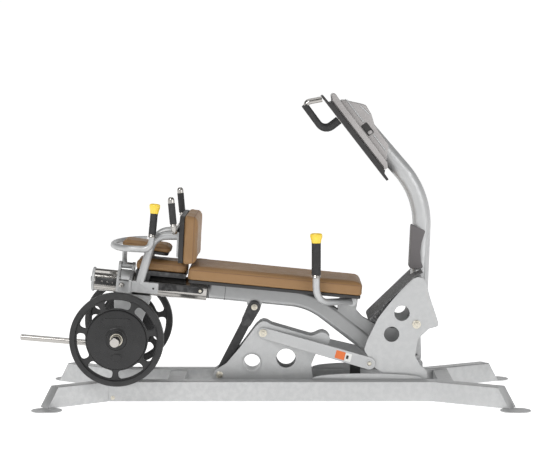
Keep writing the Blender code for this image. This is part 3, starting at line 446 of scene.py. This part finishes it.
def oblong(centre, width, height, radius, steps=6):
    """The outline of a rectangle with round corners."""
    outline = []
    for sx, sy, first in ((1, 1, 0), (-1, 1, 90), (-1, -1, 180), (1, -1, 270)):
        for i in range(steps + 1):
            turn = radians(first + 90 * i / steps)
            outline.append((centre[0] + sx * (width / 2 - radius) + radius * cos(turn),
                            centre[1] + sy * (height / 2 - radius) + radius * sin(turn)))
    return outline


# ---------------------------------------------------------------- carried-over metal

PLAIN = {
    "silver": ("rail_near", "rail_far", "leg_left_near", "leg_left_far",
               "cross_tube_left", "cross_tube_right",
               "tower_base", "tower_plate_near", "tower_plate_far", "tower_sleeve",
               "tie_bar_near", "tie_bar_far",
               "side_plate_near", "side_plate_far", "mast", "rear_rocker", "tube_end_cap",
               "weight_hanger",
               "release_lever", "carriage_saddle", "carriage_frame", "loop_lever"),
    "zinc": ("tie_bolt_tower", "rocker_base_pin", "rear_pivot_pin", "rocker_top_pin"),
    "black": ("front_rocker", "index_rail", "rear_tray"),
    "board": ("bench_board", "back_board", "head_rest_board", "head_board"),
    "chrome": ("slide_tube", "horn_bar", "rear_peg", "head_handle_near", "head_handle_far", "handle_bar",
               "lock_pin"),
    "rubber": ("stop_bumper", "head_grip_near", "head_grip_far"),
    "tread": ("foot_plate",),
    "guard": ("mast_guard",),
    "shell": ("head_housing",),
}
for finish, members in PLAIN.items():
    for member in members:
        polish(member, finish)
polish("rail_bolt", "black")
# The beam wears the silver with painted shade, for the shadow under the bench pad.
polish("beam", "shaded", 60)


# ---------------------------------------------------------------- weight plates

def arc_slot(turn, inner, outer, half, corner, steps=8):
    """A curved slot with rounded corners about the origin."""
    outline = []
    for radius, way in ((outer, 1), (inner, -1)):
        reach = half - corner / radius
        for i in range(steps + 1):
            angle = turn + way * (-reach + 2 * reach * i / steps)
            outline.append((radius * cos(angle), radius * sin(angle)))
        end = turn + way * reach
        centre_r = radius - way * corner
        centre = Vector((centre_r * cos(end), centre_r * sin(end)))
        out = Vector((cos(end), sin(end))) * way
        side = Vector((-sin(end), cos(end))) * way
        for k in (30, 60, 90):
            p = centre + (out * cos(radians(k)) + side * sin(radians(k))) * corner
            outline.append((p.x, p.y))
        other = inner if way > 0 else outer
        near_r = other + way * corner
        near = Vector((near_r * cos(end), near_r * sin(end)))
        for k in (0, 30, 60):
            p = near + (side * cos(radians(k)) - out * sin(radians(k))) * corner
            outline.append((p.x, p.y))
    return outline


def weight_plate(node, side):
    place = Matrix.Translation((HORN[0], side * PLATE_Y, HORN[1]))
    flat = place @ UPRIGHT
    R = PLATE_RADIUS
    slots = [arc_slot(radians(87) + 2 * pi * i / PLATE_WINDOWS, 0.664 * R, 0.846 * R, radians(21), 0.015)
             for i in range(PLATE_WINDOWS)]
    disc = [circle((0, 0), 0.900 * R, 120), circle((0, 0), PLATE_BORE, 40)]
    web = sheet([*disc, *slots], 0.022, flat, 0.004, 3)
    half = PLATE_HALF
    rim = [(0.868 * R, -0.010), (0.872 * R, -half + 0.006), (0.886 * R, -half + 0.001), (0.900 * R, -half),
           (R - 0.007, -half), (R - 0.002, -half + 0.002), (R, -half + 0.007)]
    rim += [(r, -h) for r, h in reversed(rim)]
    centre = [(PLATE_BORE, -0.0205), (0.0290, -0.0220), (0.0390, -0.0220), (0.0420, -0.0195),
              (0.600 * R, -0.0185), (0.625 * R, -0.0165), (0.636 * R, -0.0125), (0.642 * R, -0.0095)]
    centre += [(r, -h) for r, h in reversed(centre)]
    axis = aim((HORN[0], side * PLATE_Y, HORN[1]), (0, 1, 0))
    outer = merged(web, turn_about(rim, axis, 120, True))
    obj = shown(node + "_finish", outer, "cast", BODY_OF[node], smooth=35)
    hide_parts(node)
    keep_flat(obj)
    shapes = [turn_about(centre, axis, 96, True)]
    for face in (-1, 1):
        y = side * PLATE_Y + face * 0.0190
        badge = Matrix.Translation((HORN[0], y, HORN[1])) @ UPRIGHT
        shapes.append(sheet([oblong((0, 0.083), 0.140, 0.040, 0.018)], 0.0064, badge, 0.0022))
        shapes.append(sheet([oblong((0, -0.085), 0.050, 0.036, 0.0175)], 0.0060, badge, 0.0022))
        ring = [(0.047, 0.0), (0.049, 0.0016), (0.052, 0.0022), (0.055, 0.0016), (0.057, 0.0)]
        shapes.append(turn_about(ring, aim((HORN[0], y, HORN[1]), (0, face, 0)), 72, True))
    middle = shown(node + "_centre", merged(*shapes), "gloss", BODY_OF[node], smooth=35)
    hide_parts(node)
    keep_flat(middle)
    bush = [(0.0258, -0.0226), (0.0300, -0.0226), (0.0306, -0.0218), (0.0306, -0.0150),
            (0.0258, -0.0150)]
    for face in (-1, 1):
        ring = [(r, -face * h * side) for r, h in bush]
        end = ("_bush_front", "_bush_back")[face > 0]
        shown(node + end, merged(turn_about(ring, axis, 60, True)), "zinc", BODY_OF[node], smooth=40)


weight_plate("weight_plate_near", -1)
weight_plate("weight_plate_far", 1)


# ---------------------------------------------------------------- grips and caps

def ribbed_grip(node, at, direction, radius, core, length, steps=40):
    """A moulded sleeve with fine rings and a flange at each end."""
    profile = [(core, 0.0), (radius - 0.001, 0.0), (radius, 0.0012), (radius, 0.004)]
    rings = int((length - 0.012) / 0.004)
    for i in range(rings):
        h = 0.006 + i * 0.004
        profile += [(radius - 0.0007, h), (radius - 0.0001, h + 0.0012), (radius - 0.0001, h + 0.0026)]
    profile += [(radius, length - 0.004), (radius, length - 0.0012), (radius - 0.001, length), (core, length)]
    obj = shown(node + "_finish", merged(turn_about(profile, aim(at, direction), steps, True)), "rubber",
                BODY_OF[node], smooth=60)
    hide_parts(node)


def flared_cap(node, at, direction, core, size=1.0):
    """The yellow end cap: a neck with flutes, a flare and a domed top."""
    profile = [(core, 0.0003), (0.0195, 0.0003), (0.0208, 0.002), (0.0212, 0.008), (0.0225, 0.016),
               (0.0252, 0.024), (0.0264, 0.030), (0.0264, 0.038), (0.0255, 0.0425), (0.0225, 0.0455),
               (0.0195, 0.0465), (0.0185, 0.0445), (0.0120, 0.0440), (0.0, 0.0440)]
    profile = profile[:1] + [(r * size, h) for r, h in profile[1:]]
    matrix = aim(at, direction)
    verts, faces = turn_about(profile, matrix, 48)
    back = matrix.inverted()
    fluted = []
    for v in verts:
        p = back @ v
        r = Vector((p.x, p.y)).length
        if 0.004 < p.z < 0.030 and r > 0.018:
            wave = 1 - 0.030 * (0.5 + 0.5 * cos(12 * atan2(p.y, p.x)))
            p = Vector((p.x * wave, p.y * wave, p.z))
        fluted.append(matrix @ p)
    obj = shown(node + "_finish", merged((fluted, faces)), "yellow", BODY_OF[node], smooth=60)
    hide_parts(node)


def collar(name, at, direction, body, radius=0.0215, core=0.0150):
    """The polished ferrule under a grip."""
    profile = [(core, 0), (radius - 0.002, 0), (radius, 0.0025), (radius, 0.006), (radius - 0.0035, 0.0085),
               (radius - 0.0035, 0.011), (radius - 0.001, 0.0135), (radius - 0.002, 0.0155), (core, 0.0155)]
    shown(name, merged(turn_about(profile, aim(at, direction), 40, True)), "chrome", body, smooth=60)


RELEASE = (0.224, -0.262)
ribbed_grip("release_grip", (*RELEASE, 0.625), (0, 0, 1), 0.0225, 0.0177, 0.153)
flared_cap("release_cap", (*RELEASE, 0.778), (0, 0, 1), 0.0177, 1.14)
collar("release_collar", (*RELEASE, 0.6092), (0, 0, 1), "release_lever", 0.0235, 0.0174)

LOOP_TOP = Vector((-0.5530, -0.200, 0.945))
LOOP_UP = Vector((-0.5530 + 0.5735, 0, 0.945 - 0.741)).normalized()
ribbed_grip("loop_grip", LOOP_TOP - LOOP_UP * 0.130, LOOP_UP, 0.0185, 0.0162, 0.100)
flared_cap("loop_cap", LOOP_TOP - LOOP_UP * 0.030, LOOP_UP, 0.0162)
collar("loop_collar", LOOP_TOP - LOOP_UP * 0.1457, LOOP_UP, "loop_lever", 0.0205, 0.0158)

SIDE_LEAN = tan(radians(5))
for side, node in ((-1, "side_grip_near"), (1, "side_grip_far")):
    top = Vector((-0.4495 - 0.1525 * SIDE_LEAN, side * 0.378, 0.990))
    up = Vector((-SIDE_LEAN, 0, 1)).normalized()
    ribbed_grip(node, top - up * 0.111, up, 0.0170, 0.0127, 0.0985)
    collar(node + "_ferrule", top - up * 0.1268, up, "carriage", 0.0165, 0.0125)


# ---------------------------------------------------------------- fasteners, welds, labels and trim

def hexagon(radius):
    return [(radius * cos(pi * k / 3), radius * sin(pi * k / 3)) for k in range(6)]


def screw(name, at, direction, body, size=0.009, washer=True, finish="zinc"):
    """A hexagon head with a chamfered top on a washer."""
    place = aim(at, direction)
    shapes = []
    base = 0.0
    if washer:
        ring = [(0.0005, 0), (size * 1.45, 0), (size * 1.55, 0.0006), (size * 1.45, 0.0016), (0.0005, 0.0016)]
        shapes.append(turn_about(ring, place, 32))
        base = 0.0014
    middle = place @ Matrix.Translation((0, 0, base + size * 0.375))
    head = sheet([hexagon(size)], size * 0.75, middle, size * 0.12)
    shapes.append(head)
    boss = [(0.0004, 0), (size * 0.62, 0), (size * 0.55, 0.0009), (0.0004, 0.0009)]
    shapes.append(turn_about(boss, place @ Matrix.Translation((0, 0, base + size * 0.745)), 24))
    return keep_flat(shown(name, merged(*shapes), finish, body, smooth=40))


def socket_screw(name, at, direction, body, size=0.008, finish="zinc"):
    """A round button head with a hexagon recess."""
    place = aim(at, direction)
    rim = size * 0.5
    head = [(rim, size * 0.18), (rim, size * 0.5), (size * 0.72, size * 0.46), (size * 0.92, size * 0.30),
            (size, size * 0.08), (size, 0.0), (rim * 0.6, 0.0)]
    floor = [(0.0002, 0.0), (rim * 1.05, 0.0), (rim * 1.05, size * 0.18), (0.0002, size * 0.18)]
    mesh = merged(turn_about(head, place, 36, True), turn_about(floor, place, 6))
    return shown(name, mesh, finish, body, smooth=35)


def bead(name, path, body, radius=0.0032):
    """A weld: a thin rippled roll along a path."""
    dense = []
    points = [Vector(p) for p in path]
    for a, b in zip(points, points[1:]):
        count = max(2, int((b - a).length / 0.0028))
        dense += [a + (b - a) * (k / count) for k in range(count)]
    dense.append(points[-1])
    verts, faces = [], []
    sides = 8
    for k, point in enumerate(dense):
        ahead = (dense[min(k + 1, len(dense) - 1)] - dense[max(k - 1, 0)]).normalized()
        first = ahead.orthogonal().normalized()
        other = ahead.cross(first)
        size = radius * (1.0 if k % 2 else 0.80) * (0.35 if k in (0, len(dense) - 1) else 1.0)
        verts += [point + (first * cos(2 * pi * n / sides) + other * sin(2 * pi * n / sides)) * size
                  for n in range(sides)]
    for k in range(len(dense) - 1):
        for n in range(sides):
            m = (n + 1) % sides
            faces.append([k * sides + n, k * sides + m, (k + 1) * sides + m, (k + 1) * sides + n])
    faces.append(list(range(sides)))
    faces.append([(len(dense) - 1) * sides + n for n in range(sides)])
    return shown(name, merged((verts, faces)), "silver", body, smooth=70)


RAIL_FACE = 0.2341
HEAD_TOP = Vector((0.250, 1.477))
HEAD_DOWN = Vector((0.316, -0.407)).normalized()
HEAD_OUT = Vector((HEAD_DOWN.y, -HEAD_DOWN.x))


def head_point(s, rise):
    """A point s down the head board's front face, from its top, and rise in front of it."""
    p = HEAD_TOP + HEAD_DOWN * s + HEAD_OUT * rise
    return (p.x, p.y)


def fasteners(side, label):
    out = (0, side, 0)
    screw("rail_screw_" + label, (-0.7595, side * RAIL_FACE, 0.0235), out, "base", 0.0065)
    screw("base_pin_nut_" + label, (-0.249, side * 0.0705, 0.109), out, "base", 0.0105, False)
    screw("tie_nut_" + label, (-0.034, side * 0.087, 0.318), out, "base", 0.012, False)
    socket_screw("tie_screw_" + label, (0.485, side * 0.1716, 0.181), out, "base", 0.011)
    screw("rear_pivot_nut_" + label, (0.714, side * 0.166, 0.372), out, "base", 0.0125, False)
    socket_screw("top_pin_screw_" + label, (-0.077, side * 0.0505, 0.442), out, "front_rocker", 0.0095)
    socket_screw("side_bar_screw_" + label, (-0.566, side * 0.1552, 0.546), out, "carriage", 0.0050, "board")
    socket_screw("bracket_screw_" + label, (0.352, side * 0.0232, 0.470), out, "bench", 0.0070, "board")
    bead("side_plate_weld_" + label, [(0.612, side * 0.1585, 0.0645), (0.762, side * 0.1585, 0.0645)], "base")
    bead("tower_weld_" + label, [(-0.268, side * 0.0650, 0.0640), (0.208, side * 0.0650, 0.0640)], "base")
    if side < 0:
        x, z = bench(-0.344, -0.001)
        screw("rail_bolt_head", (x, -0.0705, z), out, "bench", 0.0090, False)


def beam_seams():
    """The two dark joints round the beam where its sleeve ends."""
    turn = Matrix(((0, 0, 1, 0), (1, 0, 0, 0), (0, 1, 0, 0), (0, 0, 0, 1)))
    for number, u in enumerate((-0.302, -0.222)):
        place = BENCH @ Matrix.Translation((u, 0, 0.0045)) @ turn
        band = sheet([oblong((0, 0), 0.0616, 0.0916, 0.0225, 8)], 0.0020, place, 0.0004, 1)
        shown("beam_seam_%d" % number, merged(band), "board", "bench")


def housing_trim(side, label):
    """Raised ribs and the latch on the side of the head's housing."""
    shell, bezel = side * 0.1152, side * 0.1522
    ribs = ((head_point(0.088, -0.086), head_point(0.224, -0.086)),
            (head_point(0.300, -0.086), head_point(0.398, -0.086)),
            (head_point(0.150, -0.122), head_point(0.212, -0.130)))
    for number, (a, b) in enumerate(ribs):
        path = [Vector((a[0], shell, a[1])).lerp(Vector((b[0], shell, b[1])), k / 12) for k in range(13)]
        shown("housing_rib_%d_%s" % (number, label), merged(sweep(path, 0.0040, 12)), "silver", "base")
    line = [head_point(0.052 + 0.0335 * k, -0.030) for k in range(13)]
    shown("bezel_line_" + label, merged(sweep([(x, bezel, z) for x, z in line], 0.0014, 8)), "board", "base")
    lean = atan2(-HEAD_DOWN.y, HEAD_DOWN.x)
    x, z = head_point(0.262, -0.080)
    place = Matrix.Translation((x, shell, z)) @ Matrix.Rotation(lean, 4, "Y") @ UPRIGHT
    latch = sheet([oblong((0, 0), 0.062, 0.034, 0.006)], 0.006, place, 0.0014)
    shown("latch_" + label, merged(latch), "board", "base")
    tab = place @ Matrix.Translation((0.020, 0, -side * 0.0028))
    tongue = sheet([oblong((0, 0), 0.016, 0.022, 0.0055)], 0.005, tab, 0.0012)
    shown("latch_tab_" + label, merged(tongue), "shell", "base")


def tie_labels():
    """The blank orange and white stickers on the near tie bar."""
    start, end = Vector((-0.034, -0.0725, 0.318)), Vector((0.485, -0.1635, 0.181))
    ahead = (end - start).normalized()
    up = Vector((0, 0, 1))
    up = (up - ahead * up.dot(ahead)).normalized()
    frame_of_bar = Matrix((ahead, up, ahead.cross(up))).transposed().to_4x4()
    frame_of_bar.translation = start
    pieces = (("label_orange", 0.3965, 0.047, 0.040, "orange"),
              ("label_white", 0.4370, 0.031, 0.040, "white"),
              ("label_mark", 0.4330, 0.012, 0.018, "board"))
    for number, (name, reach, length, height, finish) in enumerate(pieces):
        lift = 0.0043 + 0.0003 * (number == 2)
        place = frame_of_bar @ Matrix.Translation((reach, 0.0, lift))
        label = sheet([oblong((0, 0), length, height, 0.002, 3)], 0.0006, place, 0.0002, 1)
        shown(name, merged(label), finish, "base")


for side, label in ((-1, "near"), (1, "far")):
    fasteners(side, label)
    housing_trim(side, label)
beam_seams()
tie_labels()


# ---------------------------------------------------------------- pads

def swell(obj, pressure, cap, matrix):
    """Blows a closed mesh up as cloth, holding its underside, and limits how far a point moves."""
    inverse = matrix.inverted()
    before = [v.co.copy() for v in obj.data.vertices]
    local = [inverse @ v for v in before]
    low = min(p.z for p in local)
    pin = obj.vertex_groups.new(name="held")
    pin.add([i for i, p in enumerate(local) if p.z < low + HELD_DEPTH], 1.0, "REPLACE")
    cloth = obj.modifiers.new("swell", "CLOTH")
    cloth.settings.use_pressure = True
    cloth.settings.uniform_pressure_force = pressure
    cloth.settings.effector_weights.gravity = 0
    cloth.settings.vertex_group_mass = "held"
    cloth.settings.tension_stiffness = 12
    cloth.settings.compression_stiffness = 12
    cloth.settings.bending_stiffness = 0.5
    cloth.settings.quality = 4
    scene = bpy.context.scene
    for number in range(1, SWELL_FRAMES + 1):
        scene.frame_set(number)
    graph = bpy.context.evaluated_depsgraph_get()
    after = [v.co.copy() for v in obj.evaluated_get(graph).data.vertices]
    obj.modifiers.remove(cloth)
    for v, start, end in zip(obj.data.vertices, before, after):
        move = end - start
        if move.length > cap:
            move *= cap / move.length
        v.co = start + move
    obj.vertex_groups.clear()
    scene.frame_set(1)


def pad(node, matrix, size, outline, voxel, crown, inset=0.0015):
    """A cushion made from its outline: shrunk, remeshed, swollen by cloth simulation and smoothed."""
    middle = matrix @ Matrix.Translation((0, 0, (size - inset) / 2))
    shape = sheet([outline(inset)], size - inset, middle, 0.016, 3)
    mesh = merged(shape)
    obj = bpy.data.objects.new(node + "_cover", mesh)
    bpy.context.scene.collection.objects.link(obj)
    remesh = obj.modifiers.new("remesh", "REMESH")
    remesh.mode = "VOXEL"
    remesh.voxel_size = voxel
    bpy.context.view_layer.update()
    fine = bpy.data.meshes.new_from_object(obj.evaluated_get(bpy.context.evaluated_depsgraph_get()))
    obj.modifiers.remove(remesh)
    obj.data = fine
    swell(obj, SWELL_PRESSURE, crown, matrix)
    soften = bmesh.new()
    soften.from_mesh(fine)
    for _ in range(3):
        bmesh.ops.smooth_vert(soften, verts=soften.verts, factor=0.5, use_axis_x=True, use_axis_y=True,
                              use_axis_z=True)
    soften.to_mesh(fine)
    soften.free()
    smoother = obj.modifiers.new("fine", "SUBSURF")
    smoother.levels = smoother.render_levels = 1
    fine.materials.clear()
    fine.materials.append(M["vinyl"])
    fine.shade_smooth()
    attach(obj, BODY_OF[node])
    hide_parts(node)
    return obj


def side_seam(name, cover, matrix, outline, height, body):
    """A sewn seam round a cushion's side: a thin cord on the surface."""
    tree = BVHTree.FromObject(cover, bpy.context.evaluated_depsgraph_get())
    inverse = cover.matrix_world.inverted()
    loop = outline(0.0)
    centre = Vector((sum(p[0] for p in loop) / len(loop), sum(p[1] for p in loop) / len(loop)))
    dense = []
    for a, b in zip(loop, loop[1:] + loop[:1]):
        a, b = Vector(a), Vector(b)
        count = max(1, int((b - a).length / 0.012))
        dense += [a + (b - a) * (i / count) for i in range(count)]
    path, outs = [], []
    for i, p in enumerate(dense):
        along = (dense[(i + 1) % len(dense)] - dense[i - 1]).normalized()
        out = Vector((along.y, -along.x))
        if out.dot(p - centre) < 0:
            out = -out
        start = matrix @ Vector((*(p + out * 0.03), height))
        way = (matrix.to_3x3() @ Vector((-out.x, -out.y, 0))).normalized()
        hit = tree.ray_cast(inverse @ start, way, 0.08)[0]
        if hit is not None:
            path.append(hit)
            outs.append(-way)
    path.append(path[0])
    outs.append(outs[0])
    return shown(name, merged(sweep(path, SEAM_RADIUS, 6)), "thread", body, smooth=80)


def rounded_outline(corners, radius, steps=6):
    def made(inset):
        points = [Vector(p) for p in corners(inset)]
        outline = []
        for i, corner in enumerate(points):
            back = (points[i - 1] - corner).normalized()
            ahead = (points[(i + 1) % len(points)] - corner).normalized()
            half = back.angle(ahead) / 2
            reach = radius / tan(half)
            centre = corner + (back + ahead).normalized() * (radius / sin(half))
            first, last = corner + back * reach - centre, corner + ahead * reach - centre
            turn = first.angle(last)
            for k in range(steps + 1):
                share = k / steps
                mixed = (first * sin((1 - share) * turn) + last * sin(share * turn)) / sin(turn)
                outline.append(tuple(centre + mixed))
        return outline
    return made


def main_corners(inset):
    left, right = -0.412 + inset, 0.448 - inset
    wide, narrow = 0.235 - inset, 0.215 - inset
    return [(left, -wide), (right, -narrow), (right, narrow), (left, wide)]


def box_corners(half_x, half_y, middle=0.0):
    def made(inset):
        left, right, side = middle - half_x + inset, middle + half_x - inset, half_y - inset
        return [(left, -side), (right, -side), (right, side), (left, side)]
    return made


def back_corners(inset):
    low, high, half = 0.669 + inset, 0.914 - inset, 0.250 - inset
    return [(-half, low), (half, low), (half, high), (-half, high)]


LEAN = Matrix.Translation((-0.4362, 0, 0.790)) @ Matrix.Rotation(radians(3), 4, "Y")
LEAN = LEAN @ Matrix.Translation((0.4362, 0, -0.790))
BACK = LEAN @ Matrix(((0, 0, 1, -0.4122), (1, 0, 0, 0), (0, 1, 0, 0), (0, 0, 0, 1)))
HEAD_REST = Matrix.Translation((-0.600, 0, 0.7635)) @ Matrix.Rotation(radians(8.5), 4, "Y")

PADS = (
    ("bench_pad", BENCH @ Matrix.Translation((0, 0, 0.066)), 0.062,
     rounded_outline(main_corners, 0.026), 0.0065, 0.007),
    ("back_pad", BACK, 0.0602, rounded_outline(back_corners, 0.030), 0.0060, 0.007),
    ("head_rest_pad", HEAD_REST @ Matrix.Translation((0, 0, -0.034)), 0.034,
     rounded_outline(box_corners(0.1225, 0.100), 0.030), 0.0045, 0.005),
    ("rear_pad", BENCH @ Matrix.Translation((0, 0, 0.079)), 0.052,
     rounded_outline(box_corners(0.12625, 0.111, -0.54075), 0.020), 0.0045, 0.005),
)
for node, matrix, size, outline, voxel, crown in PADS:
    cover = pad(node, matrix, size, outline, voxel, crown)
    side_seam(node + "_seam", cover, matrix, outline, size - 0.014, BODY_OF[node])


# ---------------------------------------------------------------- floor, light and camera

def ground():
    mesh = bpy.data.meshes.new("floor")
    verts, faces = turn_about([(0.0, -0.0005), (FLOOR_RADIUS, -0.0005)], Matrix.Identity(4), 64)
    mesh.from_pydata([tuple(v) for v in verts], [], faces[:64])
    m = Paint("floor", (0.86, 0.86, 0.86), 0.9).set(Emission_Color=(1, 1, 1, 1), Emission_Strength=0.80)
    m.tint(m.ramp(m.noise(2.0), 0.3, 0.7, 0.0, 0.2), (0.84, 0.84, 0.84))
    mesh.materials.append(m.material)
    obj = bpy.data.objects.new("floor", mesh)
    bpy.context.scene.collection.objects.link(obj)


def area_light(name, at, towards, size, power):
    light = bpy.data.lights.new(name, "AREA")
    light.shape = "RECTANGLE"
    light.size, light.size_y = size
    light.energy = power
    obj = bpy.data.objects.new(name, light)
    bpy.context.scene.collection.objects.link(obj)
    obj.location = at
    obj.rotation_euler = (Vector(towards) - Vector(at)).to_track_quat("-Z", "Y").to_euler()


def world():
    made = bpy.data.worlds.new("studio")
    bpy.context.scene.world = made
    made.use_nodes = True
    nodes, links = made.node_tree.nodes, made.node_tree.links
    parts = nodes.new("ShaderNodeSeparateXYZ")
    links.new(nodes.new("ShaderNodeTexCoord").outputs["Generated"], parts.inputs["Vector"])
    ramp = nodes.new("ShaderNodeValToRGB")
    ramp.color_ramp.interpolation = "EASE"
    for element, (place, grey) in zip(ramp.color_ramp.elements, ((0.12, 1.03), (0.55, 0.16))):
        element.position = place
        element.color = (grey, grey, grey, 1)
    links.new(parts.outputs["Z"], ramp.inputs["Fac"])
    links.new(ramp.outputs["Color"], nodes["Background"].inputs["Color"])
    nodes["Background"].inputs["Strength"].default_value = 1.0


def camera():
    data = bpy.data.cameras.new("camera")
    data.sensor_width = 36
    data.lens = 121.3
    data.shift_x = -0.0174
    data.clip_end = 100
    obj = bpy.data.objects.new("camera", data)
    bpy.context.scene.collection.objects.link(obj)
    obj.location = (0.0871, -9.2, 1.5894)
    obj.rotation_euler = (radians(85.0), 0, 0)
    bpy.context.scene.camera = obj


ground()
world()
area_light("key", (-2.5, -4.0, 4.5), (0, 0, 0.5), (3.0, 2.0), 125)
area_light("fill", (3.5, -3.5, 2.5), (0.2, 0, 0.6), (2.0, 3.0), 48)
area_light("top", (0.0, 0.5, 5.0), (0, 0, 0), (4.0, 2.5), 42)
camera()
bpy.context.scene.view_settings.view_transform = "Standard"
